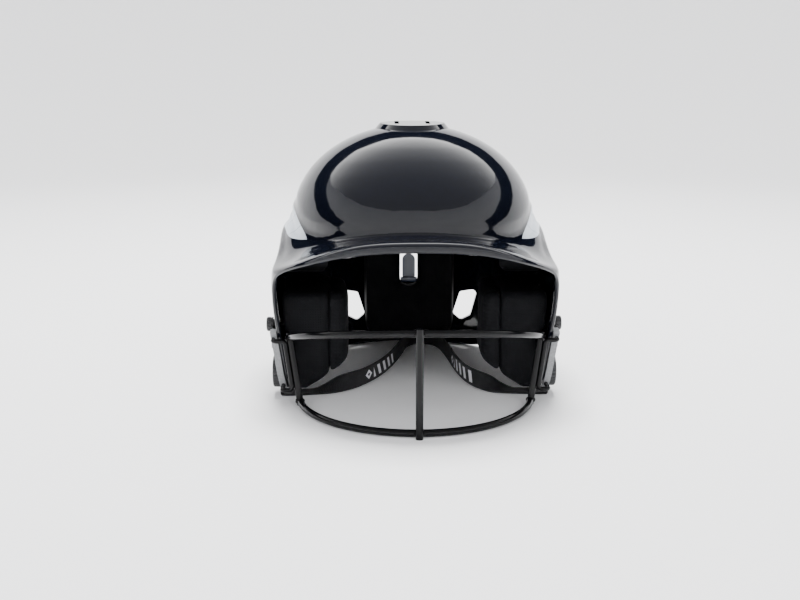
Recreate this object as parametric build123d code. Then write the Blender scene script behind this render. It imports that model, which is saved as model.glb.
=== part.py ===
from build123d import *
from math import acos, cos, radians, sin, sqrt, tan
import os

# Batting helmet with a wire face guard and a chin strap on snaps, in millimetres.
# +Z is up, the helmet faces -Y, and the wearer's left is +X.
# Sections are laid out about the dome's centre; every node moves by one shift at the end.

# Overall sizes
DOME_HALF_WIDTH = 107.5
DOME_FRONT = 125.0
DOME_REAR = 127.0
DOME_HEIGHT = 80.0
DOME_CENTRE_Z = 150.0
SKIRT_SPREAD = 10.5
BRIM_LENGTH = 45.0
WALL = 3.6
RIM_ROUND = 1.5

# Fits and gaps
PAD_GAP = 1.8
SLIP = 0.15
SOFT_GAP = 0.4
EPS = 0.02
SEAT_GAP = 0.05
TOOL = 160.0  # longer than half the helmet: how far cutting tools run

# Shell openings
EAR = (-6.0, 64.0)
EAR_SIZE = 30.0
REAR_HOLE = ((45, 31), (53, 25), (62, 31), (69, 59), (52, 54))
REAR_HOLE_ROUND = 3.5
REAR_HOLE_FRONT_Y = 40.0
VENT_SIZE = (18.0, 30.0)
VENT_ROUND = 3.5
VENT_Z = 77.0
VENT_FRONT_Y = 90.0
ARCH_FOOT = 3.0

# Crown panel and side inlays
CROWN_LIFT = 4.2
CROWN_HALF = (40.0, 51.0)
CROWN_CENTRE_Y = 10.0
CROWN_BASE_Z = 218.0
CROWN_TAPER = 40.0
CROWN_VENT = (4.0, 30.0)
CROWN_VENT_X = (-14.0, 14.0)
INLAY_DEPTH = 1.2
INLAY_TIPS = ((-70, 137.5), (78, 147))
INLAY_TOP = [(-52, 147), (-28, 156), (0, 159.5), (40, 158)]
INLAY_FOOT = [(40, 139.5), (0, 139), (-28, 137), (-52, 135.5)]
INLAY_START_X = 60.0

# Face guard
WIRE = 6.0
LOOP_WIRE = 4.0
GUARD_TOP_Z = 58.0
GUARD_RISE = 26.0
GUARD_REACH = 188.0
GUARD_LOW_REACH = 186.0
GUARD_TOP_HALF = 107.0
GUARD_BOTTOM_HALF = 98.0
GUARD_TOP_Y = -96.0
GUARD_BOTTOM_Y = -102.0
GUARD_LIFT = 0.2
ROD_OVER = 5.0
ROD_BITE = 0.6
LOOP_HIGH_Z = 55.0
LOOP_LOW_Z = 13.0
LOOP_BACK_Y = -67.0
LOOP_FOOT_Y = -84.5
LOOP_BEND = 3.0
LOOP_SEAT_Y = (-78.0, -85.0)
WELD_BITE = 0.2

# Hardware
SCREW = 4.0
KNOB_Y = -62.0
KNOB_Z = 61.5
KNOB_HEAD = 12.6
KNOB_DEPTH = 4.2
KNOB_ROUND = 1.6
KNOB_GROOVES = 12
KNOB_GROOVE = 1.1
KNOB_SLOT = (1.3, 7.5, 1.0)
WASHER = (5.4, 0.4)
SPACER_RADIUS = 4.4
CLIP_THICK = 1.2
CLIP_RADIUS = 6.2
CLIP_REACH = (10.0, 8.5)
NUT_FLANGE = 6.0
NUT_FLANGE_THICK = 1.2
NUT_BARREL = 3.4
NUT_DEPTH = 4.5
BOLT_Y = -80.0
BOLT_Z = LOOP_HIGH_Z - 6.5
BOLT_SINK = 1.6
BOLT_DRIVE = 2.5
SCREW_END = 3.0  # how far a screw runs past its nut's flange
BRACKET_TOP_Z = 60.0
BRACKET_FOOT_Z = 9.0
BRACKET_DEPTH = 5.2
GASKET = 0.8
GASKET_INSET = 1.0
FLAP_CORNER = 18.0

# Snaps
STUD_Y = -69.0
STUD_Z = 21.0
STUD_POST = 4.0
STUD_BALL = 2.7
STUD_FLANGE = (7.0, 1.0)
STUD_BOSS = 17.0
BOSS_LIFT = 0.8
CAP = 28.0
CAP_DEPTH = 6.0
CAP_ROUND = 1.8
CAP_TEETH = 28
CAP_TOOTH = 0.9
CAP_GAP = 0.25

# Chin strap
STRAP_WIDTH = 15.0
STRAP_THICK = 1.5
STRAP_LIFT = 0.3
STRAP_FLAT_X = 62.0
STRAP_END_RISE = 9.0
STRAP_BEND = 1.6

# Padding
PAD_BACK = WALL + PAD_GAP
HEAD_HALF_WIDTH = 83.0
HEAD_HALF_LENGTH = 102.0
HEAD_RISE = 56.0
CROWN_PAD = 36.0
REAR_PAD = ((-44, 60, 10), (44, 150, 122))
FOREHEAD_PAD = ((-66, -150, 152), (66, -60, 192))
TEMPLE_PAD = ((50, -44, 102), (140, 54, 146))
CHANNEL = (18.0, 80.0, 45.0)
CHANNEL_CENTRE = (0, 100, 82.5)
JAW_PAD = ((60, -80, 6), (150, 6, 93))
JAW_SLOPE = ((56, 34), (98, 4))  # the lower inner edge, in (x, z)
JAW_ROUND = 9.0
REAR_ROUND = 12.0
PAD_ROUND = 10.0
LINER_THICK = 14.0
EAR_CLEAR = 4.0
NUT_CLEAR = (8.0, 7.0)
TONGUE = (13.0, 15.5, 2.0)
TONGUE_PLACE = (0, 112, 77.5)
DISC_GAP = 0.1
CROWN_DISC = 12.0
REAR_DISC = (10.0, 28.0, 90.0)
TEMPLE_DISC = (9.0, 122.0)
TEMPLE_DISC_Y = (-24.0, 32.0)

# Plan angles at which each section is set, from the front round to the rear.
STATIONS = (0, 17, 34, 50, 60, 70, 80, 90, 112, 135, 158, 180)
# Height of the crease where the dome meets the brim and shoulder, at each station.
ROOT_Z = (149, 146.5, 140.5, 137, 141, 147, 153, 157, 159, 159, 158, 158)
# The brim and shoulder edge: how far out of the dome it stands, as a share of
# BRIM_LENGTH in front and of SKIRT_SPREAD behind, and its height.
BRIM_SHARE = (1.0, 1.0, 0.97, 0.82, 0.48, 0.23, 0, 0, 0, 0, 0, 0)
SHOULDER_SHARE = (0, 0, 0, 0, 0.1, 0.3, 0.85, 0.62, 0.5, 0.24, 0.1, 0.05)
EDGE_Z = (151.5, 147.5, 131.5, 119, 121, 128, 135, 140, 142, 142, 142, 142)
# Radius of the skirt at its widest, and at the floor.
WIDE_Z = 92.0
WIDE_SHARE = (45, 46.5, 48, 43.5, 29, 17, 12, 11, 7.7, 4.2, 0.3, -1)
FOOT_SHARE = (25, 25, 26, 24, 15.5, 6.5, 4, 3, -1, -4.5, -7.5, -8)


# The skin's rings, from the crown down
DOME_START = 16.0  # angle from straight up at which the first ring lies
DOME_END_LIFT = 7.0
DOME_RINGS = (0, 0.14, 0.28, 0.42, 0.56, 0.7, 0.82, 0.92, 1)
CREASE_OUT = (1.3, 0.12)  # the most, and as a share of the ledge
CREASE_LIFT = 1.8
LEDGE_RINGS = ((0.16, 0), (0.4, 0.3), (0.66, 0.5), (0.88, 0.4))
LIP_OUT = 2.5
LIP_DROP = 7.0
TURN = (0.75, 2.2)
UPPER = (0.6, 4.0, 0.45)
WALL_RINGS = (78, 58, 36, 14, -8)
WALL_CURVE = 0.8
NORMAL_RISE = 60.0

# Outlines seen from the side, in (y, z)
BRIM_LINE = [
    (-90, 45), (-93, 62), (-96.5, 80), (-101, 97), (-107, 109), (-118, 117.5),
    (-133, 124.5), (-148, 131.5), (-160, 138), (-178, 146),
]
FLAP_FRONT = (STUD_Y - FLAP_CORNER, STUD_Z)
ARCH = [(-12, ARCH_FOOT), (14, 10), (40, 13), (66, 9), (88, 2), (104, 0)]
AHEAD_Y = -220.0
BEHIND_Y = 160.0
BELOW_Z = -30.0
BRACKET_OUTLINE = [
    (-93, BRACKET_TOP_Z), (-74, BRACKET_TOP_Z), (-76, 45), (-83.6, 33), (-83.6, 18),
    (-82.6, BRACKET_FOOT_Z), (-85, BRACKET_FOOT_Z), (-88, 15), (-88.5, 24), (-90, 45),
]
# The strap's lie on the floor, seen from above
STRAP_ROUTE = [
    (-66, -63), (-52, -56), (-36, -32), (-22, 2), (-10, 50), (-4, 86), (6, 97),
    (18, 97), (29, 86), (36, 44), (41, -8), (50, -48), (66, -65),
]


def dome_radius(angle):
    """Plan radius of the dome's widest section at a plan angle."""
    side = sin(radians(angle))
    ahead = cos(radians(angle))
    length = (DOME_FRONT + DOME_REAR) / 2 + (DOME_FRONT - DOME_REAR) / 2 * ahead
    return 1 / sqrt((side / DOME_HALF_WIDTH) ** 2 + (ahead / length) ** 2)


def between(low, high, share):
    return low + (high - low) * share


ROOT_R = [dome_radius(angle) for angle in STATIONS]
EDGE_R = [
    root + BRIM_LENGTH * brim + SKIRT_SPREAD * shoulder
    for root, brim, shoulder in zip(ROOT_R, BRIM_SHARE, SHOULDER_SHARE)
]
WIDE_R = [root + out for root, out in zip(ROOT_R, WIDE_SHARE)]
FOOT_R = [root + out for root, out in zip(ROOT_R, FOOT_SHARE)]
LIP_R = [max(edge, between(edge, wide, 0.5)) + LIP_OUT for edge, wide in zip(EDGE_R, WIDE_R)]


def section_points(radii, heights):
    """Points of one section all the way round, starting at the rear centre."""
    right = [
        Vector(r * sin(radians(a)), -r * cos(radians(a)), z)
        for a, r, z in zip(STATIONS, radii, heights)
    ]
    left = [Vector(-p.X, p.Y, p.Z) for p in right[1:-1]]
    return [right[-1]] + left[::-1] + right[:-1]


def section_wire(points):
    turns = [-180.0] + [-a for a in STATIONS[1:-1]][::-1] + list(STATIONS[:-1]) + [180.0]
    shares = [(turn + 180) / 360 for turn in turns]
    return Wire([Edge.make_spline(points, periodic=True, parameters=shares)])


def dome_section(share):
    """A section between the crown, at 0, and just above the crease, at 1."""
    radii, heights = [], []
    for root, foot in zip(ROOT_R, ROOT_Z):
        widest = acos((foot + DOME_END_LIFT - DOME_CENTRE_Z) / DOME_HEIGHT)
        polar = between(radians(DOME_START), widest, share)
        radii.append(root * sin(polar))
        heights.append(DOME_CENTRE_Z + DOME_HEIGHT * cos(polar))
    return section_points(radii, heights)


def ledge_section(share, lift):
    """A section on the brim and shoulder, between the crease, at 0, and the edge, at 1."""
    radii = [between(root, edge, share) for root, edge in zip(ROOT_R, EDGE_R)]
    heights = [between(low, high, share) + lift for low, high in zip(ROOT_Z, EDGE_Z)]
    return section_points(radii, heights)


def wall_section(height):
    share = height / WIDE_Z
    radii = [
        between(foot, wide, share**WALL_CURVE if share > 0 else share)
        for foot, wide in zip(FOOT_R, WIDE_R)
    ]
    return section_points(radii, [height] * len(STATIONS))


def skin_sections():
    sections = [dome_section(share) for share in DOME_RINGS]
    crease = [
        root + min(CREASE_OUT[0], CREASE_OUT[1] * (edge - root)) for root, edge in zip(ROOT_R, EDGE_R)
    ]
    sections.append(section_points(crease, [z + CREASE_LIFT for z in ROOT_Z]))
    sections += [ledge_section(share, lift) for share, lift in LEDGE_RINGS]
    turn = [between(edge, lip, TURN[0]) for edge, lip in zip(EDGE_R, LIP_R)]
    sections.append(section_points(turn, [z - TURN[1] for z in EDGE_Z]))
    sections.append(section_points(LIP_R, [z - LIP_DROP for z in EDGE_Z]))
    upper = [between(wide, lip, UPPER[0]) for wide, lip in zip(WIDE_R, LIP_R)]
    heights = [between(WIDE_Z - UPPER[1], z - LIP_DROP, UPPER[2]) for z in EDGE_Z]
    sections.append(section_points(upper, heights))
    sections += [wall_section(height) for height in WALL_RINGS]
    return sections


SECTIONS = skin_sections()
SKIN_BODY = Solid.make_loft([section_wire(points) for points in SECTIONS])
SKIN_FACE = SKIN_BODY.faces().sort_by(SortBy.AREA)[-1]


def outward(point):
    normal = SKIN_FACE.normal_at(point)
    away = Vector(point.X, point.Y, point.Z - DOME_CENTRE_Z + NORMAL_RISE)
    return normal if normal.dot(away) > 0 else normal * -1


NORMALS = [[outward(point) for point in points] for points in SECTIONS]


def skin(offset):
    """The whole helmet outline as a solid, grown by offset, or shrunk when it is negative."""
    wires = []
    for index, (points, normals) in enumerate(zip(SECTIONS, NORMALS)):
        moved = [p + n * offset for p, n in zip(points, normals)]
        if index == 0:
            level = sum(p.Z for p in moved) / len(moved)
            moved = [Vector(p.X, p.Y, level) for p in moved]
        if index == len(SECTIONS) - 1:
            moved = [Vector(p.X, p.Y, points[0].Z) for p in moved]
        wires.append(section_wire(moved))
    return Solid.make_loft(wires)


def skin_x(y, z):
    """Half width of the outer skin at a height and a place along the helmet."""
    hits = SKIN_FACE.find_intersection_points(Axis((0, y, z), (1, 0, 0)))
    return max(point.X for point, _ in hits)


def side_prism(outline, low, high):
    """A prism across the helmet from x = low to x = high, from an outline in (y, z)."""
    face = make_face(outline)
    return extrude(Plane.YZ.offset(low) * face, amount=high - low)


def mirrored(shape):
    return mirror(shape, Plane.YZ)


def rod(start, end, diameter):
    span = Vector(*end) - Vector(*start)
    return Plane(origin=start, z_dir=span) * Cylinder(
        diameter / 2, span.length, align=(Align.CENTER, Align.CENTER, Align.MIN)
    )


def across(y, z, radius, low, high):
    """A round bar along X."""
    return rod((low, y, z), (high, y, z), 2 * radius)


OUTER = skin(0)
INNER = skin(-WALL)


STUD_SEAT_X = skin_x(STUD_Y, STUD_Z + STUD_BOSS / 2) + BOSS_LIFT
KNOB_X = skin_x(KNOB_Y, KNOB_Z)
BOLT_X = skin_x(BOLT_Y, BOLT_Z)


# Shell

def face_opening():
    """Everything ahead of the flaps and under the brim."""
    edge = Spline(FLAP_FRONT, *BRIM_LINE)
    top = (AHEAD_Y, BRIM_LINE[-1][1])
    ahead = Polyline(BRIM_LINE[-1], top, (AHEAD_Y, BELOW_Z), (FLAP_FRONT[0], BELOW_Z), FLAP_FRONT)
    return side_prism(edge + ahead, -TOOL, TOOL)


def foot_opening():
    """Everything under the flaps and the arch behind the ears."""
    half = FLAP_CORNER * cos(radians(45))
    foot = (STUD_Y, ARCH_FOOT)
    corner = ThreePointArc(FLAP_FRONT, (STUD_Y - half, STUD_Z - half), foot)
    line = Line(foot, ARCH[0])
    arch = Spline(*ARCH, tangents=[(1, 0), (1, 0)])
    front_y = FLAP_FRONT[0] - FLAP_CORNER
    below = Polyline(
        ARCH[-1], (BEHIND_Y, ARCH[-1][1]), (BEHIND_Y, BELOW_Z), (front_y, BELOW_Z),
        (front_y, FLAP_FRONT[1]), FLAP_FRONT,
    )
    return side_prism(corner + line + arch + below, -TOOL, TOOL)


def crown_panel():
    """The raised panel on the crown, with sloping sides."""
    outline = Plane((0, CROWN_CENTRE_Y, CROWN_BASE_Z)) * Ellipse(CROWN_HALF[0], CROWN_HALF[1])
    return skin(CROWN_LIFT) & extrude(outline, amount=WALL * 7, taper=CROWN_TAPER)


def inlay_prism(slip):
    """The side inlay's outline carried out through the left side, smaller by slip all round."""
    front = (INLAY_TIPS[0][0] + 3 * slip, INLAY_TIPS[0][1])
    rear = (INLAY_TIPS[1][0] - 3 * slip, INLAY_TIPS[1][1])
    top = Spline(front, *[(y, z - slip) for y, z in INLAY_TOP], rear)
    foot = Spline(rear, *[(y, z + slip) for y, z in INLAY_FOOT], front)
    return extrude(Plane.YZ.offset(INLAY_START_X) * make_face(top + foot), amount=TOOL - INLAY_START_X)


def rear_hole(side):
    points = [(side * x, z) for x, z in REAR_HOLE]
    face = make_face(FilletPolyline(*points, radius=REAR_HOLE_ROUND, close=True))
    return extrude(Plane.XZ.offset(-TOOL) * face, amount=TOOL - REAR_HOLE_FRONT_Y)


def rear_vent():
    """The rounded opening in the middle of the rear wall."""
    plane = Plane(origin=(0, VENT_FRONT_Y, VENT_Z), x_dir=(1, 0, 0), z_dir=(0, 1, 0))
    return extrude(plane * RectangleRounded(*VENT_SIZE, VENT_ROUND), amount=TOOL - VENT_FRONT_Y)


def stud_boss():
    """A flat seat on the flap for the snap, square to the strap's hinge line."""
    seat = across(STUD_Y, STUD_Z, STUD_BOSS / 2, STUD_SEAT_X - 3 * WALL, STUD_SEAT_X)
    return seat - INNER


def rounded_rim(body):
    """Rounds both edges of the brim, the flaps' fronts and the foot."""
    long_edges = [edge for edge in body.edges() if edge.length > 3 * DOME_HALF_WIDTH]
    return fillet(long_edges, RIM_ROUND)


def make_shell():
    body = OUTER + crown_panel()
    boss = stud_boss()
    body = body - INNER + boss + mirrored(boss)
    body = rounded_rim(body - face_opening() - foot_opening())
    for side in (-1, 1):
        start, end = sorted((side * INLAY_START_X, side * TOOL))
        body -= across(*EAR, EAR_SIZE / 2, start, end)
        body -= rear_hole(side)
        for (y, z), bore in (
            ((STUD_Y, STUD_Z), STUD_POST),
            ((KNOB_Y, KNOB_Z), SCREW),
            ((BOLT_Y, BOLT_Z), SCREW),
        ):
            body -= across(y, z, bore / 2 + SLIP, start, end)
    body -= rear_vent()
    for x in CROWN_VENT_X:
        vent = SlotCenterToCenter(CROWN_VENT[1], CROWN_VENT[0], rotation=90)
        body -= extrude(Plane((x, CROWN_CENTRE_Y, CROWN_BASE_Z - 3 * CROWN_LIFT)) * vent, amount=TOOL)
    return body


# Face guard

def guard_wires():
    """The five welded rods of the guard, and the loop behind each side rod."""
    top = ThreePointArc(
        (-GUARD_TOP_HALF, GUARD_TOP_Y, GUARD_TOP_Z),
        (0, -GUARD_REACH, GUARD_TOP_Z + GUARD_RISE),
        (GUARD_TOP_HALF, GUARD_TOP_Y, GUARD_TOP_Z),
    )
    low_z = WIRE / 2 + GUARD_LIFT
    bottom = ThreePointArc(
        (-GUARD_BOTTOM_HALF, GUARD_BOTTOM_Y, low_z),
        (0, -GUARD_LOW_REACH, low_z),
        (GUARD_BOTTOM_HALF, GUARD_BOTTOM_Y, low_z),
    )
    pieces = {"guard_top_wire": tube(top, WIRE), "guard_bottom_wire": tube(bottom, WIRE)}
    foot_y = ROD_BITE - GUARD_LOW_REACH - WIRE
    head_y = ROD_BITE - GUARD_REACH - WIRE
    under = Pos(0, 0, -TOOL) * Box(4 * TOOL, 4 * TOOL, 2 * TOOL)
    centre = rod((0, foot_y, -WIRE), (0, head_y, GUARD_TOP_Z + GUARD_RISE + ROD_OVER), WIRE)
    pieces["guard_centre_rod"] = centre - under
    for side, name in ((1, "left"), (-1, "right")):
        foot_x, foot_y = rod_centre(-WIRE)
        head = (side * GUARD_TOP_HALF, GUARD_TOP_Y, GUARD_HEAD_Z)
        pieces[f"guard_side_rod_{name}"] = rod((side * foot_x, foot_y, -WIRE), head, WIRE) - under
        pieces[f"guard_side_loop_{name}"] = side_loop(side)
    return pieces


def tube(path, diameter):
    start = path @ 0
    return sweep(Plane(origin=start, z_dir=path % 0) * Circle(diameter / 2), path=path)


LOOP_SEAT = GASKET + LOOP_WIRE / 2 + 2 * GUARD_LIFT
LOOP_HIGH_X = skin_x(LOOP_SEAT_Y[0], LOOP_HIGH_Z) + LOOP_SEAT
LOOP_LOW_X = skin_x(LOOP_SEAT_Y[1], LOOP_LOW_Z) + LOOP_SEAT
GUARD_HEAD_Z = GUARD_TOP_Z + 2 * WIRE / 3


def rod_centre(z):
    """Centre of the side rod at a height."""
    share = z / GUARD_HEAD_Z
    return (between(GUARD_BOTTOM_HALF, GUARD_TOP_HALF, share), between(GUARD_BOTTOM_Y, GUARD_TOP_Y, share))


def side_loop(side):
    """A bent wire welded along the side rod, with both ends turned back outside the flap."""
    beside = (WIRE + LOOP_WIRE) / 2 - WELD_BITE
    high_x, high_y = rod_centre(LOOP_HIGH_Z)
    low_x, low_y = rod_centre(LOOP_LOW_Z)
    corners = [
        (LOOP_HIGH_X, LOOP_BACK_Y, LOOP_HIGH_Z),
        (LOOP_HIGH_X, high_y - 1, LOOP_HIGH_Z),
        (high_x + beside, high_y - 1, LOOP_HIGH_Z),
        (low_x + beside, low_y - 1, LOOP_LOW_Z),
        (LOOP_LOW_X, low_y - 1, LOOP_LOW_Z),
        (LOOP_LOW_X, LOOP_FOOT_Y, LOOP_LOW_Z),
    ]
    path = FilletPolyline(*[(side * x, y, z) for x, y, z in corners], radius=LOOP_BEND)
    return tube(path, LOOP_WIRE)


# Guard brackets, their bolts, and the clip with its knob

def bracket_layer(inner, outer, inset):
    face = make_face(Polyline(*BRACKET_OUTLINE, close=True))
    if inset:
        face = offset(face, -inset)
    prism = extrude(Plane.YZ * face, amount=160)
    return (skin(outer) - skin(inner)) & prism


def hex_drive(origin, across_flats):
    outline = RegularPolygon(across_flats / 2, 6, major_radius=False)
    return extrude(Plane(origin=origin, z_dir=(1, 0, 0)) * outline, amount=across_flats)


def inner_seat(y, z, radius):
    """Where a flat flange meets the inside of the flap."""
    nearest = min(skin_x(y + dy, z + dz) for dy in (-radius, radius) for dz in (-radius, radius))
    return nearest - WALL - 2 * SLIP


def guard_mounts():
    """Left-hand gasket, bracket, bolt and nut, clip, knob screw, washer and nut."""
    pieces = {}
    outer_x = BOLT_X + GASKET + BRACKET_DEPTH
    sunk_x = outer_x - BOLT_SINK
    bore = across(BOLT_Y, BOLT_Z, SCREW / 2 + SLIP, INLAY_START_X, TOOL)
    pieces["bracket_gasket"] = bracket_layer(SEAT_GAP, GASKET, GASKET_INSET) - bore
    bracket = bracket_layer(GASKET + EPS, GASKET + BRACKET_DEPTH, 0)
    pocket = across(BOLT_Y, BOLT_Z, SCREW + 2 * SLIP, sunk_x, TOOL)
    pieces["guard_bracket"] = bracket - bore - pocket - loop_channels()
    nut_seat = inner_seat(BOLT_Y, BOLT_Z, NUT_FLANGE)
    bolt = across(BOLT_Y, BOLT_Z, SCREW / 2, nut_seat - SCREW_END, sunk_x + SCREW / 2)
    head = across(BOLT_Y, BOLT_Z, SCREW, sunk_x + SEAT_GAP, sunk_x + SCREW / 2)
    drive = hex_drive((outer_x - BOLT_SINK / 2, BOLT_Y, BOLT_Z), BOLT_DRIVE)
    pieces["bracket_bolt"] = bolt + head - drive
    pieces["bracket_nut"] = t_nut(BOLT_Y, BOLT_Z, nut_seat)
    clip_seat = LOOP_HIGH_X + LOOP_WIRE / 2 + 2 * SEAT_GAP
    knob_bore = across(KNOB_Y, KNOB_Z, SCREW / 2 + SLIP, INLAY_START_X, TOOL)
    spacer = across(KNOB_Y, KNOB_Z, SPACER_RADIUS, KNOB_X - SCREW_END, clip_seat - SEAT_GAP)
    pieces["clip_spacer"] = spacer - skin(SEAT_GAP) - knob_bore
    pieces["guard_clip"] = guard_clip(clip_seat) - knob_bore
    washer_x = clip_seat + CLIP_THICK + SEAT_GAP
    pieces["knob_washer"] = across(KNOB_Y, KNOB_Z, WASHER[0], washer_x, washer_x + WASHER[1]) - knob_bore
    knob_seat = washer_x + WASHER[1] + SEAT_GAP
    nut_seat = inner_seat(KNOB_Y, KNOB_Z, NUT_FLANGE)
    shank = across(KNOB_Y, KNOB_Z, SCREW / 2, nut_seat - SCREW_END, knob_seat + SCREW / 2)
    pieces["knob_screw"] = shank + knob(knob_seat)
    pieces["knob_nut"] = t_nut(KNOB_Y, KNOB_Z, nut_seat)
    return pieces


def loop_channels():
    """The loop wire's two channels through the bracket."""
    size = LOOP_WIRE + 2 * SLIP
    ahead = GUARD_BOTTOM_Y - FLAP_CORNER
    behind = KNOB_Y + FLAP_CORNER
    high = rod((LOOP_HIGH_X, ahead, LOOP_HIGH_Z), (LOOP_HIGH_X, behind, LOOP_HIGH_Z), size)
    return high + rod((LOOP_LOW_X, ahead, LOOP_LOW_Z), (LOOP_LOW_X, LOOP_FOOT_Y + 1, LOOP_LOW_Z), size)


def t_nut(y, z, seat):
    """A flanged nut against the inside of the shell, bored for its screw."""
    flange = across(y, z, NUT_FLANGE, seat - NUT_FLANGE_THICK, seat)
    barrel = across(y, z, NUT_BARREL, seat - NUT_DEPTH, seat - NUT_FLANGE_THICK)
    return flange + barrel - across(y, z, SCREW / 2 + EPS, seat - 2 * NUT_DEPTH, seat + NUT_DEPTH)


def round_outer_edge(disc, radius):
    return fillet(disc.edges().filter_by(GeomType.CIRCLE).sort_by(Axis.X)[-1], radius)


def rim_grooves(y, z, radius, count, groove, low, high):
    """Half-round grooves all round a rim."""
    grooves = Part()
    for step in range(count):
        turn = radians(360 / count * step)
        grooves += across(y + radius * cos(turn), z + radius * sin(turn), groove, low, high)
    return grooves


def knob(seat):
    """The knob: a round head with a grooved rim and a cross slot."""
    top = seat + KNOB_DEPTH
    head = round_outer_edge(across(KNOB_Y, KNOB_Z, KNOB_HEAD / 2, seat, top), KNOB_ROUND)
    radius = KNOB_HEAD / 2 + KNOB_GROOVE / 2
    head -= rim_grooves(KNOB_Y, KNOB_Z, radius, KNOB_GROOVES, KNOB_GROOVE, seat - 1, top + 1)
    width, length, depth = KNOB_SLOT
    for size in ((2 * depth, width, length), (2 * depth, length, width)):
        head -= Pos(top, KNOB_Y, KNOB_Z) * Box(*size)
    return head


def guard_clip(seat):
    """A steel tab under the knob that reaches down over the end of the loop wire."""
    plate = across(KNOB_Y, KNOB_Z, CLIP_RADIUS, seat, seat + CLIP_THICK)
    centre = (seat + CLIP_THICK / 2, KNOB_Y - CLIP_RADIUS, LOOP_HIGH_Z + LOOP_WIRE / 2)
    return plate + Pos(*centre) * Box(CLIP_THICK, *CLIP_REACH)


# Chin strap, its snaps and caps

TAB_INNER_X = STUD_SEAT_X + 2 * SEAT_GAP
TAB_OUTER_X = TAB_INNER_X + STRAP_THICK


def corner_radii(points):
    """Each corner's radius: 0.45 of its shorter run over the tangent of half its turn."""
    radii = []
    for before, corner, after in zip(points, points[1:], points[2:]):
        first = Vector(*corner) - Vector(*before)
        second = Vector(*after) - Vector(*corner)
        turn = radians(first.get_angle(second))
        radii.append(0.45 * min(first.length, second.length) / tan(turn / 2))
    return radii


def chin_strap():
    """Webbing on its edge along the floor, with a flat end up each flap to its snap."""
    path = FilletPolyline(*STRAP_ROUTE, radius=corner_radii(STRAP_ROUTE))
    strap = extrude(Pos(0, 0, STRAP_LIFT) * trace(path, line_width=STRAP_THICK), amount=STRAP_WIDTH)
    middle = (TAB_INNER_X + TAB_OUTER_X) / 2
    floor = STRAP_LIFT + STRAP_THICK / 2
    plane = Plane.XZ.offset(-STUD_Y - STRAP_WIDTH / 2)
    for side in (-1, 1):
        corners = [(STRAP_FLAT_X, floor), (middle, floor), (middle, STUD_Z + STRAP_END_RISE)]
        route = FilletPolyline(*[(side * x, z) for x, z in corners], radius=STRAP_BEND)
        end = extrude(plane * trace(route, line_width=STRAP_THICK), amount=STRAP_WIDTH)
        start, stop = sorted((side * STRAP_FLAT_X, side * TOOL))
        strap += end - across(STUD_Y, STUD_Z, STUD_POST / 2 + SOFT_GAP, start, stop)
    return strap


def snaps():
    """Left-hand stud through the flap, its inner flange, and the cap that snaps on."""
    inside = skin_x(STUD_Y, STUD_Z - STUD_FLANGE[0]) - WALL - STUD_FLANGE[1]
    post = across(STUD_Y, STUD_Z, STUD_POST / 2, inside - STUD_FLANGE[1], TAB_OUTER_X + STUD_BALL)
    ball = Pos(TAB_OUTER_X + STUD_BALL - SOFT_GAP, STUD_Y, STUD_Z) * Sphere(STUD_BALL)
    flange = across(STUD_Y, STUD_Z, STUD_FLANGE[0], inside - STUD_FLANGE[1], inside)
    seat = TAB_OUTER_X + CAP_GAP
    top = seat + CAP_DEPTH
    cap = round_outer_edge(across(STUD_Y, STUD_Z, CAP / 2, seat, top), CAP_ROUND)
    radius = CAP / 2 + CAP_TOOTH / 3
    cap -= rim_grooves(STUD_Y, STUD_Z, radius, CAP_TEETH, CAP_TOOTH, seat - 1, top + 1)
    socket = STUD_BALL + SLIP + SEAT_GAP
    cap -= across(STUD_Y, STUD_Z, socket, seat - 1, TAB_OUTER_X + 2 * socket)
    return {"snap_stud": post + ball + flange, "snap_cap": cap}


# Foam liner

def rounded_block(low, high, radius):
    size = [b - a for a, b in zip(low, high)]
    centre = [(a + b) / 2 for a, b in zip(low, high)]
    return fillet((Pos(*centre) * Box(*size)).edges(), radius)


def head_room():
    """The space left for the head."""
    column = Pos(0, 0, BELOW_Z) * extrude(
        Ellipse(HEAD_HALF_WIDTH, HEAD_HALF_LENGTH), amount=DOME_CENTRE_Z - BELOW_Z
    )
    crown = scale(Sphere(1), by=(HEAD_HALF_WIDTH, HEAD_HALF_LENGTH, HEAD_RISE))
    return column + Pos(0, 0, DOME_CENTRE_Z) * crown


def upright(radius, low, high):
    return Pos(0, 0, low) * Cylinder(radius, high - low, align=(Align.CENTER, Align.CENTER, Align.MIN))


def pads():
    """Foam pads, each its own piece held to the shell by hook-and-loop discs."""
    room = skin(-PAD_BACK) - head_room()
    rear = rounded_block(*REAR_PAD, REAR_ROUND) - Pos(*CHANNEL_CENTRE) * Box(*CHANNEL)
    temple = rounded_block(*TEMPLE_PAD, PAD_ROUND) & room
    return {
        "crown_pad": upright(CROWN_PAD, DOME_CENTRE_Z, DOME_CENTRE_Z + 2 * DOME_HEIGHT) & room,
        "rear_pad": rear & room,
        "forehead_pad": rounded_block(*FOREHEAD_PAD, PAD_ROUND) & room,
        "temple_pad_left": temple,
        "temple_pad_right": mirrored(temple),
    }


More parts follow.
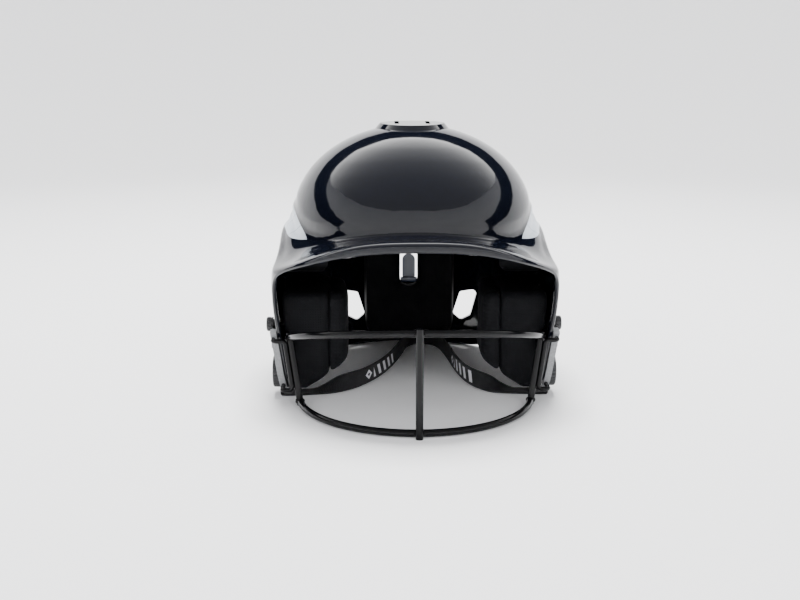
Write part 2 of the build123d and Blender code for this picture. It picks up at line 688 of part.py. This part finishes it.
def jaw_pads():
    """Thick flap pads: a firm base against the flap and a softer liner inside it."""
    block = rounded_block(*JAW_PAD, JAW_ROUND) & skin(-PAD_BACK - 1)
    block -= across(*EAR, EAR_SIZE / 2 + EAR_CLEAR, 0, TOOL)
    (near_x, near_z), (far_x, far_z) = JAW_SLOPE
    corner = Polyline((near_x, near_z), (far_x, far_z), (near_x, far_z), close=True)
    block -= extrude(Plane.XZ.offset(-TOOL) * make_face(corner), amount=2 * TOOL)
    radius, depth = NUT_CLEAR
    for y, z in ((BOLT_Y, BOLT_Z), (KNOB_Y, KNOB_Z), (STUD_Y, STUD_Z)):
        block -= across(y, z, radius, inner_seat(y, z, radius) - depth, TOOL)
    split = JAW_PAD[0][0] + LINER_THICK
    far = Box(2 * TOOL, 2 * TOOL, 2 * TOOL, align=(Align.MIN, Align.CENTER, Align.CENTER))
    base = block & Pos(split + SOFT_GAP / 2, 0, 0) * far
    liner = block - Pos(split - SOFT_GAP / 2, 0, 0) * far
    return base, liner


def discs():
    """Hook-and-loop discs in the gap between the shell and its pads."""
    gap = skin(-WALL - DISC_GAP) - skin(-PAD_BACK + DISC_GAP)
    radius, x, z = REAR_DISC
    rear = [gap & rod((side * x, HEAD_HALF_WIDTH, z), (side * x, TOOL, z), 2 * radius) for side in (-1, 1)]
    radius, z = TEMPLE_DISC
    temple = [gap & across(y, z, radius, INLAY_START_X, TOOL) for y in TEMPLE_DISC_Y]
    return {
        "crown_disc": gap & upright(CROWN_DISC, DOME_CENTRE_Z, DOME_CENTRE_Z + 2 * DOME_HEIGHT),
        "rear_discs": Part() + rear,
        "temple_discs": Part() + temple + [mirrored(disc) for disc in temple],
    }


def vent_tongue():
    """An arched tongue of liner fabric standing in the rear vent."""
    width, height, thick = TONGUE
    plane = Plane(origin=TONGUE_PLACE, x_dir=(1, 0, 0), z_dir=(0, 1, 0))
    return extrude(plane * SlotCenterToCenter(height, width, rotation=90), amount=thick)


def rounded_block(low, high, radius):
    size = [b - a for a, b in zip(low, high)]
    centre = [(a + b) / 2 for a, b in zip(low, high)]
    return fillet((Pos(*centre) * Box(*size)).edges(), radius)


def assemble():
    """Every node by name, laid out about the dome's centre."""
    nodes = {}
    shell = make_shell()
    under = skin(-INLAY_DEPTH)
    inlay = (OUTER & inlay_prism(SLIP)) - under
    pocket = inlay_prism(0) - under
    nodes["shell"] = shell - pocket - mirrored(pocket)
    paired = {"side_inlay": inlay}
    paired |= guard_mounts()
    paired |= snaps()
    base, liner = jaw_pads()
    paired["jaw_pad"] = base
    paired["jaw_liner"] = liner
    for name, piece in paired.items():
        nodes[f"{name}_left"] = piece
        nodes[f"{name}_right"] = mirrored(piece)
    nodes |= guard_wires()
    nodes["chin_strap"] = chin_strap()
    nodes |= pads()
    nodes |= discs()
    nodes["rear_vent_tongue"] = vent_tongue()
    return nodes


def main():
    nodes = assemble()
    boxes = [piece.bounding_box() for piece in nodes.values()]
    front = min(box.min.Y for box in boxes)
    back = max(box.max.Y for box in boxes)
    shift = Vector(0, -(front + back) / 2, 0)
    print("moved along Y by", shift.Y)
    os.makedirs("parts", exist_ok=True)
    for name, piece in nodes.items():
        export_step(Pos(*shift) * piece, f"parts/{name}.step")


if __name__ == "__main__":
    main()
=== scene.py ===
import math

import bmesh
import bpy
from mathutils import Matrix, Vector
from mathutils.bvhtree import BVHTree


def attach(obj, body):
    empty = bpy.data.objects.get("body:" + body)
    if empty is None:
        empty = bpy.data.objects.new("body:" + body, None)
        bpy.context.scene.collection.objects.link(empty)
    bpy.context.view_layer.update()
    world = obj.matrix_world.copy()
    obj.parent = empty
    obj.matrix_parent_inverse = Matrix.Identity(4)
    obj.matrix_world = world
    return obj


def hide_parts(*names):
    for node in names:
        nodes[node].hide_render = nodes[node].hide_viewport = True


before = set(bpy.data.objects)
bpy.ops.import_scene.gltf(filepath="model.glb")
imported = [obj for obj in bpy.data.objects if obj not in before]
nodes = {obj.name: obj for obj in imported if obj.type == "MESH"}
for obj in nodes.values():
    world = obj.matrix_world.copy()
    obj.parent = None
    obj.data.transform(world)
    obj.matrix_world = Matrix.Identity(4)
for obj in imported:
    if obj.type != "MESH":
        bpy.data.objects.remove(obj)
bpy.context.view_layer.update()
scene = bpy.context.scene
print("helmet frame loaded:", len(nodes), "pieces")

camera = {
    "place": (-0.0332, -1.0157, 0.3034), "lookDown": 12.62, "turn": -1.204,
    "lens": 52.16, "sensor": 36,
}

cameraData = bpy.data.cameras.new("camera")
cameraData.lens = camera["lens"]
cameraData.sensor_width = camera["sensor"]
cameraObject = bpy.data.objects.new("camera", cameraData)
cameraObject.location = camera["place"]
cameraObject.rotation_euler = (math.radians(90 - camera["lookDown"]), 0, math.radians(camera["turn"]))
scene.collection.objects.link(cameraObject)
scene.camera = cameraObject


# a shader socket that can be added, multiplied and so on
class Signal:
    def __init__(self, finish, socket):
        self.finish = finish
        self.socket = socket

    def work(self, operation, first, second):
        kinds = [s.socket.type for s in (first, second) if isinstance(s, Signal)]
        maths = "ShaderNodeVectorMath" if "VECTOR" in kinds or "RGBA" in kinds else "ShaderNodeMath"
        return self.finish.node(maths, {"operation": operation}, {0: first, 1: second}).out(0)

    def __add__(self, other):
        return self.work("ADD", self, other)

    def __radd__(self, other):
        return self.work("ADD", other, self)

    def __sub__(self, other):
        return self.work("SUBTRACT", self, other)

    def __rsub__(self, other):
        return self.work("SUBTRACT", other, self)

    def __mul__(self, other):
        return self.work("MULTIPLY", self, other)

    def __rmul__(self, other):
        return self.work("MULTIPLY", other, self)

    def __truediv__(self, other):
        return self.work("DIVIDE", self, other)

    def __rtruediv__(self, other):
        return self.work("DIVIDE", other, self)

    def __pow__(self, other):
        return self.work("POWER", self, other)

    def below(self, limit):
        return self.work("LESS_THAN", self, limit)

    def above(self, limit):
        return self.work("GREATER_THAN", self, limit)

    def fold(self, period):
        return self.work("PINGPONG", self, period)

    def wrap(self, period):
        return self.work("MODULO", self, period)

    def size(self):
        return self.finish.node("ShaderNodeMath", {"operation": "ABSOLUTE"}, {0: self}).out(0)


class Made:
    def __init__(self, finish, node):
        self.finish = finish
        self.node = node

    def out(self, name):
        return Signal(self.finish, self.node.outputs[name])


class Finish:
    def __init__(self, name, settings):
        self.material = bpy.data.materials.new(name)
        self.material.use_nodes = True
        self.tree = self.material.node_tree
        self.shader = self.tree.nodes["Principled BSDF"]
        for socket, value in settings.items():
            self.shader.inputs[socket].default_value = value

    def node(self, kind, settings=None, sockets=None):
        made = self.tree.nodes.new(kind)
        for name, value in (settings or {}).items():
            setattr(made, name, value)
        for name, value in (sockets or {}).items():
            if isinstance(value, Signal):
                self.tree.links.new(value.socket, made.inputs[name])
            else:
                made.inputs[name].default_value = value
        return Made(self, made)

    def place(self):
        return self.node("ShaderNodeTexCoord").out("Object")

    def along(self, spot):
        split = self.node("ShaderNodeSeparateXYZ", {}, {0: spot})
        return split.out("X"), split.out("Y"), split.out("Z")

    def grain(self, scale, detail=2.0, rough=0.5, stretch=(1, 1, 1)):
        spot = self.node("ShaderNodeMapping", {}, {"Vector": self.place(), "Scale": stretch}).out(0)
        settings = {"Vector": spot, "Scale": scale, "Detail": detail, "Roughness": rough}
        return self.node("ShaderNodeTexNoise", {}, settings).out(0)

    def blendColours(self, share, first, second):
        sockets = {0: share, 6: first, 7: second}
        return self.node("ShaderNodeMix", {"data_type": "RGBA"}, sockets).out(2)

    def feed(self, socket, signal):
        self.tree.links.new(signal.socket, self.shader.inputs[socket])

    def emboss(self, height, depth):
        self.feed("Normal", self.node("ShaderNodeBump", {}, {"Height": height, "Distance": depth}).out(0))


def paint(finish, *names):
    for name in names:
        slots = nodes[name].data.materials
        slots.clear()
        slots.append(finish.material)


def bothSides(*names):
    return [name + side for name in names for side in ("_left", "_right")]


# moulded, dipped and plated surfaces: two colours mixed by a fine grain, which also varies the shine
# "rough" and "metal" are the least value and what the grain adds; "relief" is a second grain for the bumps
def grained(name, look):
    surface = Finish(name, look["settings"])
    grain = surface.grain(*look["grain"])
    surface.feed("Base Color", surface.blendColours(grain, look["dark"], look["light"]))
    surface.feed("Roughness", look["rough"][0] + look["rough"][1] * grain)
    if "metal" in look:
        surface.feed("Metallic", look["metal"][0] + look["metal"][1] * grain)
    if "depth" in look:
        surface.emboss(surface.grain(*look["relief"]) if "relief" in look else grain, look["depth"])
    return surface


shellPaint = {
    "settings": {"IOR": 1.42, "Coat Weight": 0.1, "Coat Roughness": 0.02},
    "dark": (0.0016, 0.0022, 0.0048, 1), "light": (0.0028, 0.0034, 0.0062, 1),
    "grain": (14, 3), "rough": (0.045, 0.05), "relief": (150, 1), "depth": 0.00003,
}
paint(grained("glossShell", shellPaint), "shell")

wireDip = {
    "settings": {"IOR": 1.36, "Specular IOR Level": 0.3},
    "dark": (0.0015, 0.0015, 0.0018, 1), "light": (0.003, 0.003, 0.0036, 1),
    "grain": (60, 3), "rough": (0.09, 0.07), "relief": (160, 1), "depth": 0.00003,
}
wireCoat = grained("dippedWire", wireDip)
paint(wireCoat, "guard_top_wire", "guard_bottom_wire", "guard_centre_rod")
paint(wireCoat, *bothSides("guard_side_rod", "guard_side_loop"))

bracketMetal = {
    "settings": {"Coat Weight": 0.2},
    "dark": (0.12, 0.12, 0.125, 1), "light": (0.30, 0.31, 0.32, 1),
    "grain": (700, 2), "rough": (0.3, 0.25), "depth": 0.00012,
}
paint(grained("greyBracket", bracketMetal), *bothSides("guard_bracket"))

gasketRubber = {
    "settings": {},
    "dark": (0.008, 0.008, 0.008, 1), "light": (0.018, 0.018, 0.018, 1),
    "grain": (500, 2), "rough": (0.55, 0.2), "depth": 0.0001,
}
paint(grained("blackRubber", gasketRubber), *bothSides("bracket_gasket", "clip_spacer", "knob_washer"))

fastenerSteel = {
    "settings": {},
    "dark": (0.36, 0.36, 0.37, 1), "light": (0.52, 0.52, 0.53, 1),
    "grain": (300, 3, 0.6, (1, 6, 1)), "rough": (0.22, 0.2), "metal": (0.96, 0.04), "depth": 0.00003,
}
zincSteel = grained("zincSteel", fastenerSteel)
paint(zincSteel, *bothSides("bracket_bolt", "bracket_nut", "knob_nut", "snap_stud"))

mouldedNylon = {
    "settings": {},
    "dark": (0.007, 0.007, 0.008, 1), "light": (0.02, 0.02, 0.022, 1),
    "grain": (650, 2), "rough": (0.3, 0.2), "depth": 0.00008,
}
paint(grained("blackNylon", mouldedNylon), *bothSides("knob_screw", "snap_cap", "guard_clip"))

tongueNylon = {
    "settings": {"Coat Weight": 0.3},
    "dark": (0.006, 0.014, 0.042, 1), "light": (0.012, 0.026, 0.07, 1),
    "grain": (120, 2), "rough": (0.25, 0.15),
}
tongueBlue = grained("blueTongue", tongueNylon)
paint(tongueBlue, "rear_vent_tongue")

discFuzz = {
    "settings": {"Sheen Weight": 0.4, "Sheen Roughness": 0.6},
    "dark": (0.004, 0.004, 0.005, 1), "light": (0.03, 0.03, 0.034, 1),
    "grain": (1500, 3, 0.7), "rough": (0.8, 0.2), "depth": 0.0006,
}
paint(grained("hookAndLoop", discFuzz), "crown_disc", "rear_discs", "temple_discs")

# silver film with fine slanted lines across it
inlay = {
    "settings": {"Coat Weight": 0.5, "Coat Roughness": 0.1},
    "silver": (0.60, 0.66, 0.72, 1), "line": (0.25, 0.30, 0.36, 1),
    "spacing": 0.011, "lineWidth": 0.0004, "slope": 0.8,
    "flake": (900, 1), "rough": (0.24, 0.14), "metal": (0.25, 0.2),
}
inlayFilm = Finish("silverInlay", inlay["settings"])
x, y, z = inlayFilm.along(inlayFilm.place())
stripe = (y * inlay["slope"] + z).fold(inlay["spacing"]).below(inlay["lineWidth"])
flake = inlayFilm.grain(*inlay["flake"])
inlayFilm.feed("Base Color", inlayFilm.blendColours(stripe, inlay["silver"], inlay["line"]))
inlayFilm.feed("Roughness", inlay["rough"][0] + inlay["rough"][1] * flake)
inlayFilm.feed("Metallic", inlay["metal"][0] + inlay["metal"][1] * flake)
paint(inlayFilm, *bothSides("side_inlay"))
print("hard pieces painted")

padCover = {
    "settings": {"Specular IOR Level": 0.18},
    "colour": (0.0009, 0.0011, 0.0018, 1), "worn": (0.0022, 0.0026, 0.0042, 1),
    "padThread": 0.0011, "linerThread": 0.00176,
    "wear": (45, 3), "wearShare": 0.5, "rough": (0.62, 0.3),
    "nap": (800, 2), "napShare": 0.6, "depth": 0.00025,
}


def padCloth(name, thread):
    cloth = Finish(name, padCover["settings"])
    x, y, z = cloth.along(cloth.place())
    weave = ((x + y) / thread).fold(1.0) * (z / thread).fold(1.0)
    wear = cloth.grain(*padCover["wear"])
    shade = wear * padCover["wearShare"] + weave * (1 - padCover["wearShare"])
    cloth.feed("Base Color", cloth.blendColours(shade, padCover["colour"], padCover["worn"]))
    cloth.feed("Roughness", padCover["rough"][0] + padCover["rough"][1] * wear)
    cloth.emboss(weave + padCover["napShare"] * cloth.grain(*padCover["nap"]), padCover["depth"])
    return cloth


padFabric = padCloth("padFabric", padCover["padThread"])
linerFabric = padCloth("linerFabric", padCover["linerThread"])

# "voxel" is the mesh's spacing, "swell" the most that a pad may puff up, "fill" how full of foam it is
shellFoam = {"voxel": 0.004, "swell": 0.0022, "fill": 0.7, "cloth": padFabric, "slot": "foam"}
jawFoam = {"voxel": 0.0035, "swell": 0.0018, "fill": 0.8, "cloth": padFabric, "slot": "foam"}
jawComfort = {"voxel": 0.0035, "swell": 0.0018, "fill": 0.6, "cloth": linerFabric, "slot": "liner"}
softPads = {
    "crownPad": ("crown_pad", shellFoam),
    "rearPad": ("rear_pad", shellFoam),
    "foreheadPad": ("forehead_pad", shellFoam),
    "templePadLeft": ("temple_pad_left", shellFoam),
    "templePadRight": ("temple_pad_right", shellFoam),
    "jawPadLeft": ("jaw_pad_left", jawFoam),
    "jawPadRight": ("jaw_pad_right", jawFoam),
    "jawLinerLeft": ("jaw_liner_left", jawComfort),
    "jawLinerRight": ("jaw_liner_right", jawComfort),
}
puffing = {"pressure": 4, "steps": 20, "stuckWithin": 0.0032, "quickVoxel": 0.006, "merge": 0.00001}


def meshFromNode(nodeName, pieceName):
    mesh = nodes[nodeName].data.copy()
    mesh.name = pieceName
    work = bmesh.new()
    work.from_mesh(mesh)
    bmesh.ops.remove_doubles(work, verts=work.verts, dist=puffing["merge"])
    bmesh.ops.recalc_face_normals(work, faces=work.faces)
    work.to_mesh(mesh)
    work.free()
    made = bpy.data.objects.new(pieceName, mesh)
    scene.collection.objects.link(made)
    return made


def bakedMesh(piece):
    return bpy.data.meshes.new_from_object(piece.evaluated_get(bpy.context.evaluated_depsgraph_get()))


def applyModifiers(piece):
    settled = bakedMesh(piece)
    piece.modifiers.clear()
    piece.data = settled


# the side against the shell keeps its place, as the hook-and-loop holds it
def startPad(pieceName, nodeName, make):
    pad = meshFromNode(nodeName, pieceName)
    remesh = pad.modifiers.new("even", "REMESH")
    remesh.mode = "VOXEL"
    remesh.voxel_size = make["voxel"]
    applyModifiers(pad)
    stuck = pad.vertex_groups.new(name="stuck")
    reach = puffing["stuckWithin"]
    near = [v.index for v in pad.data.vertices if shellTree.find_nearest(v.co, reach)[0] is not None]
    stuck.add(near, 1.0, "REPLACE")
    return pad


def inflate(pads):
    for pad in pads:
        cloth = pad.modifiers.new("cloth", "CLOTH")
        cloth.settings.use_pressure = True
        cloth.settings.uniform_pressure_force = puffing["pressure"]
        cloth.settings.effector_weights.gravity = 0
        cloth.settings.vertex_group_mass = "stuck"
    for step in range(puffing["steps"]):
        scene.frame_set(step + 1)


def settle(pad, limit):
    start = [v.co.copy() for v in pad.data.vertices]
    applyModifiers(pad)
    for vertex, home in zip(pad.data.vertices, start):
        move = vertex.co - home
        if move.length > limit:
            vertex.co = home + move * (limit / move.length)


def smoothShade(mesh):
    mesh.polygons.foreach_set("use_smooth", [True] * len(mesh.polygons))


shellTree = BVHTree.FromObject(nodes["shell"], bpy.context.evaluated_depsgraph_get())
pads = {name: startPad(name, nodeName, make) for name, (nodeName, make) in softPads.items()}
inflate(pads.values())
for name, (nodeName, make) in softPads.items():
    settle(pads[name], make["swell"])
scene.frame_set(1)
for name, (nodeName, make) in softPads.items():
    pad = pads[name]
    smooth = pad.modifiers.new("round", "SUBSURF")
    smooth.levels = 1
    smooth.render_levels = 1
    smoothShade(pad.data)
    pad.data.materials.clear()
    pad.data.materials.append(make["cloth"].material)
    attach(pad, "helmet")
    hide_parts(nodeName)
print("padding made:", len(pads), "pads")


# every new piece: the worked bmesh becomes a mesh in an object at the origin
def makePiece(name, work, finish, smooth=True):
    mesh = bpy.data.meshes.new(name)
    work.to_mesh(mesh)
    work.free()
    if smooth:
        smoothShade(mesh)
    mesh.materials.append(finish.material)
    piece = bpy.data.objects.new(name, mesh)
    scene.collection.objects.link(piece)
    return piece


# the chin strap lies on the floor: flat at its sides, and on its edge in the middle
# "standing" gives how far from the middle it is upright, and where it is flat again
chinStrap = {
    "width": 0.015,
    "thick": 0.0015,
    "lift": 0.0003,
    "standing": (0.044, 0.090),
    "endsBeyond": 0.1,
    "route": [
        (-0.1164, -0.0359, 0.030), (-0.1164, -0.0359, 0.016), (-0.1164, -0.0359, 0.00105),
        (-0.1164, -0.0359, 0.00105), (-0.104, -0.0359, 0.00105), (-0.088, -0.0335, 0.00105),
        (-0.066, -0.0299, 0.00105), (-0.052, -0.0229, 0.005), (-0.036, 0.0011, 0.0078),
        (-0.022, 0.0351, 0.0078), (-0.010, 0.0831, 0.0078), (-0.004, 0.1191, 0.0078),
        (0.006, 0.1301, 0.0078), (0.018, 0.1301, 0.0078), (0.029, 0.1191, 0.0078),
        (0.036, 0.0771, 0.0078), (0.041, 0.0251, 0.0078), (0.050, -0.0149, 0.0078),
        (0.066, -0.0319, 0.005), (0.082, -0.0335, 0.00105), (0.104, -0.0359, 0.00105),
        (0.1164, -0.0359, 0.00105), (0.1164, -0.0359, 0.00105), (0.1164, -0.0359, 0.016),
        (0.1164, -0.0359, 0.030),
    ],
    "rows": 300,
    "columns": 8,
    "smoothing": 16,
}


def followCurve(name, points):
    curve = bpy.data.curves.new(name, "CURVE")
    curve.dimensions = "3D"
    curve.resolution_u = chinStrap["smoothing"]
    spline = curve.splines.new("NURBS")
    spline.points.add(len(points) - 1)
    for spot, place in zip(spline.points, points):
        spot.co = (*place, 1)
    spline.order_u = 3
    spline.use_endpoint_u = True
    holder = bpy.data.objects.new(name, curve)
    scene.collection.objects.link(holder)
    bpy.context.view_layer.update()
    made = bakedMesh(holder)
    line = [v.co.copy() for v in made.vertices]
    bpy.data.objects.remove(holder)
    bpy.data.meshes.remove(made)
    return line


def evenPoints(line, count):
    runs = [0.0]
    for first, second in zip(line, line[1:]):
        runs.append(runs[-1] + (second - first).length)
    spots = []
    at = 0
    for step in range(count + 1):
        goal = runs[-1] * step / count
        while at < len(line) - 2 and runs[at + 1] < goal:
            at += 1
        share = (goal - runs[at]) / max(runs[at + 1] - runs[at], 1e-9)
        spots.append(line[at].lerp(line[at + 1], min(max(share, 0), 1)))
    return spots, runs[-1]


def standing(x):
    upright, flat = chinStrap["standing"]
    share = min(max((flat - abs(x)) / (flat - upright), 0), 1)
    return share * share * (3 - 2 * share)


# the strap's middle line and the direction across it at each row
def layStrap(spots):
    middle = []
    across = []
    for index, spot in enumerate(spots):
        ahead = spots[min(index + 1, len(spots) - 1)] - spots[max(index - 1, 0)]
        hanging = abs(spot.x) > chinStrap["endsBeyond"]
        side = Vector((0, 1, 0)) if hanging else Vector((-ahead.y, ahead.x, 0)).normalized()
        tilt = math.radians(90) * standing(spot.x)
        place = spot.copy()
        if not hanging:
            place.z = chinStrap["lift"] + chinStrap["width"] / 2 * math.sin(tilt) + chinStrap["thick"] / 2
        middle.append(place)
        across.append(side * math.cos(tilt) + Vector((0, 0, 1)) * math.sin(tilt))
    return middle, across


def makeStrap(middle, across, finish):
    rows = chinStrap["rows"]
    work = bmesh.new()
    work.loops.layers.uv.new("webbing")
    bmesh.ops.create_grid(work, x_segments=rows, y_segments=chinStrap["columns"], size=1, calc_uvs=True)
    for v in work.verts:
        index = round((v.co.x + 1) / 2 * rows)
        v.co = middle[index] + across[index] * (v.co.y * chinStrap["width"] / 2)
    bmesh.ops.recalc_face_normals(work, faces=work.faces)
    made = makePiece("strapWebbing", work, finish)
    thick = made.modifiers.new("thick", "SOLIDIFY")
    thick.thickness = chinStrap["thick"]
    thick.offset = 0
    return made


# woven in: two runs of slanted bars, each with a hollow diamond before it
# lengths run along the strap in metres, and the shares are of its width
webbing = {
    "settings": {"Sheen Weight": 0.05, "Specular IOR Level": 0.35},
    "black": (0.010, 0.010, 0.012, 1), "rib": (0.003, 0.003, 0.004, 1), "white": (0.78, 0.78, 0.82, 1),
    "ribLength": 0.0007, "ribLean": 0.004, "ribShare": 0.7, "strands": 11.0,
    "marks": ((0.125, 0.180), (0.372, 0.427)),
    "barEvery": 0.0125, "barLength": 0.0056, "barLean": 0.007, "barHalf": 0.33,
    "diamondBefore": 0.009, "diamond": (0.0055, 0.30), "diamondHole": (0.0022, 0.12),
    "threadLeast": 0.65, "rough": (0.55, 0.3), "depth": 0.0003,
}


def webbingFinish(length):
    cloth = Finish("blackWebbing", webbing["settings"])
    run, edge, _ = cloth.along(cloth.node("ShaderNodeUVMap", {"uv_map": "webbing"}).out(0))
    run = run * length
    off = (edge - 0.5).size()
    rib = ((run + off * webbing["ribLean"]) / webbing["ribLength"]).fold(1.0)
    strand = (edge * webbing["strands"]).fold(0.5) * 2.0
    weave = rib * webbing["ribShare"] + strand * (1 - webbing["ribShare"])
    mark = 0.0
    for start, stop in webbing["marks"]:
        slant = (run + edge * webbing["barLean"] - start).wrap(webbing["barEvery"])
        bars = slant.below(webbing["barLength"]) * off.below(webbing["barHalf"])
        apart = (run - (start - webbing["diamondBefore"])).size()
        diamonds = (webbing["diamond"], webbing["diamondHole"])
        outer, hole = [(apart / long + off / wide).below(1.0) for long, wide in diamonds]
        mark = mark + run.above(start) * run.below(stop) * bars + outer - hole
    black = cloth.blendColours(weave, webbing["rib"], webbing["black"])
    thread = mark * (webbing["threadLeast"] + (1 - webbing["threadLeast"]) * rib)
    cloth.feed("Base Color", cloth.blendColours(thread, black, webbing["white"]))
    cloth.feed("Roughness", webbing["rough"][0] + webbing["rough"][1] * weave)
    cloth.emboss(weave, webbing["depth"])
    return cloth


strapSpots, strapRun = evenPoints(followCurve("strapLine", chinStrap["route"]), chinStrap["rows"])
strapMiddle, strapAcross = layStrap(strapSpots)
strap = makeStrap(strapMiddle, strapAcross, webbingFinish(strapRun))
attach(strap, "chin_strap")
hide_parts("chin_strap")
print("chin strap made, length", round(strapRun, 4))

# beads of weld under the dip, where the guard's wires meet
weld = {
    "radius": 0.0042,
    "flatten": 0.72,
    "segments": 20,
    "rings": 12,
    "spots": (
        (0, -0.1562, 0.0034), (0, -0.1578, 0.0838),
        (0.0985, -0.0688, 0.0036), (-0.0985, -0.0688, 0.0036),
        (0.1065, -0.0632, 0.0580), (-0.1065, -0.0632, 0.0580),
    ),
}
work = bmesh.new()
for spot in weld["spots"]:
    bead = bmesh.ops.create_uvsphere(
        work, u_segments=weld["segments"], v_segments=weld["rings"], radius=weld["radius"]
    )["verts"]
    bmesh.ops.scale(work, vec=(1, weld["flatten"], weld["flatten"]), verts=bead)
    bmesh.ops.translate(work, vec=spot, verts=bead)
weldBeads = makePiece("weldBeads", work, wireCoat)
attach(weldBeads, "helmet")

# the bar across the foot of the rear vent's tongue
tongueBar = {"size": (0.0165, 0.0022, 0.0050), "place": (0, 0.1440, 0.0655), "round": 0.0008, "segments": 3}
work = bmesh.new()
bmesh.ops.create_cube(work, size=1)
bmesh.ops.scale(work, vec=tongueBar["size"], verts=work.verts)
bmesh.ops.bevel(
    work, geom=work.edges[:], offset=tongueBar["round"], segments=tongueBar["segments"],
    profile=0.5, affect="EDGES", material=-1,
)
bmesh.ops.translate(work, vec=tongueBar["place"], verts=work.verts)
bar = makePiece("tongueBar", work, tongueBlue)
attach(bar, "helmet")
print("small fittings made")

# a pale floor that curves up into a low round wall
studio = {
    "paint": {"Base Color": (0.86, 0.86, 0.865, 1), "Roughness": 0.85, "Specular IOR Level": 0.2},
    "radius": 2.6, "bend": 0.9, "bendSteps": 12, "wallTop": 1.9, "segments": 96,
    "air": (0.96, 0.97, 1.0, 1), "airStrength": 0.82,
}


# grows the open rim by one ring of faces, at this distance out and this height
def growRim(work, rim, out, up):
    grown = bmesh.ops.extrude_edge_only(work, edges=rim)["geom"]
    for v in [g for g in grown if isinstance(g, bmesh.types.BMVert)]:
        v.co = Vector((v.co.x, v.co.y, 0)).normalized() * out + Vector((0, 0, up))
    return [g for g in grown if isinstance(g, bmesh.types.BMEdge)]


flat = studio["radius"] - studio["bend"]
work = bmesh.new()
bmesh.ops.create_circle(work, cap_ends=False, radius=flat, segments=studio["segments"])
bmesh.ops.contextual_create(work, geom=work.edges[:])
rim = work.edges[:]
for step in range(1, studio["bendSteps"] + 1):
    turn = math.pi / 2 * step / studio["bendSteps"]
    rim = growRim(work, rim, flat + studio["bend"] * math.sin(turn), studio["bend"] * (1 - math.cos(turn)))
growRim(work, rim, studio["radius"], studio["wallTop"])
bmesh.ops.recalc_face_normals(work, faces=work.faces)
bmesh.ops.reverse_faces(work, faces=work.faces)
makePiece("floor", work, Finish("paleFloor", studio["paint"]))

world = bpy.data.worlds.new("studio")
world.use_nodes = True
air = world.node_tree.nodes["Background"].inputs
air["Color"].default_value = studio["air"]
air["Strength"].default_value = studio["airStrength"]
scene.world = world

lamps = {
    "overhead": {"place": (0, 0.45, 1.9), "aim": (0, 0, 0.1), "size": 0.9, "power": 118},
    "frontLeft": {"place": (-1.3, -1.5, 1.3), "aim": (0, 0, 0.1), "size": 0.9, "power": 9},
    "frontRight": {"place": (1.3, -1.5, 1.3), "aim": (0, 0, 0.1), "size": 0.9, "power": 9},
}
for name, lampFacts in lamps.items():
    light = bpy.data.lights.new(name, "AREA")
    light.size = lampFacts["size"]
    light.energy = lampFacts["power"]
    lamp = bpy.data.objects.new(name, light)
    lamp.location = lampFacts["place"]
    towards = Vector(lampFacts["aim"]) - lamp.location
    lamp.rotation_euler = towards.to_track_quat("-Z", "Y").to_euler()
    lamp.visible_glossy = False
    scene.collection.objects.link(lamp)


# screens that only the gloss sees
def glossOnly(screen):
    screen.visible_camera = False
    screen.visible_diffuse = False
    screen.visible_shadow = False
    screen.visible_transmission = False


# a bright ceiling that fades to the front
ceiling = {
    "height": 1.75, "half": 2.3, "front": -2.4, "back": 2.1,
    "dim": 0.6, "bright": 8.0, "fade": 6.0,
    "settings": {"Base Color": (0, 0, 0, 1), "Specular IOR Level": 0.0, "Emission Strength": 1.0},
}
glow = Finish("ceilingGlow", ceiling["settings"])
x, y, z = glow.along(glow.place())
share = ((y - ceiling["front"]) / (ceiling["back"] - ceiling["front"])) ** ceiling["fade"]
level = ceiling["dim"] + (ceiling["bright"] - ceiling["dim"]) * share
glow.feed("Emission Color", glow.node("ShaderNodeCombineXYZ", {}, {0: level, 1: level, 2: level}).out(0))
work = bmesh.new()
bmesh.ops.create_grid(work, x_segments=1, y_segments=1, size=1)
for v in work.verts:
    end = ceiling["front"] if v.co.y < 0 else ceiling["back"]
    v.co = (v.co.x * ceiling["half"], end, ceiling["height"])
glossOnly(makePiece("ceilingScreen", work, glow, smooth=False))

# a dark hoop that stands behind the helmet and leans back, with its feet a little ahead
hoop = {
    "width": 0.19, "half": 1.55, "ahead": 0.22, "lean": 0.83, "rise": 0.57, "foot": 0.1, "steps": 48,
    "settings": {"Base Color": (0.002, 0.003, 0.006, 1), "Roughness": 1.0, "Specular IOR Level": 0.0},
}
work = bmesh.new()
bmesh.ops.create_grid(work, x_segments=hoop["steps"], y_segments=1, size=1)
for v in work.verts:
    turn = math.pi * (v.co.x + 1) / 2
    height = math.sin(turn)
    back = hoop["lean"] * height - hoop["ahead"] * (1 - height)
    radial = Vector((math.cos(turn), back, hoop["rise"] * height))
    wide = Vector((0, hoop["rise"], -hoop["lean"])) * (v.co.y * hoop["width"])
    v.co = Vector((0, 0, hoop["foot"])) + radial * hoop["half"] + wide
glossOnly(makePiece("hoopScreen", work, Finish("darkScreen", hoop["settings"]), smooth=False))
print("studio ready")
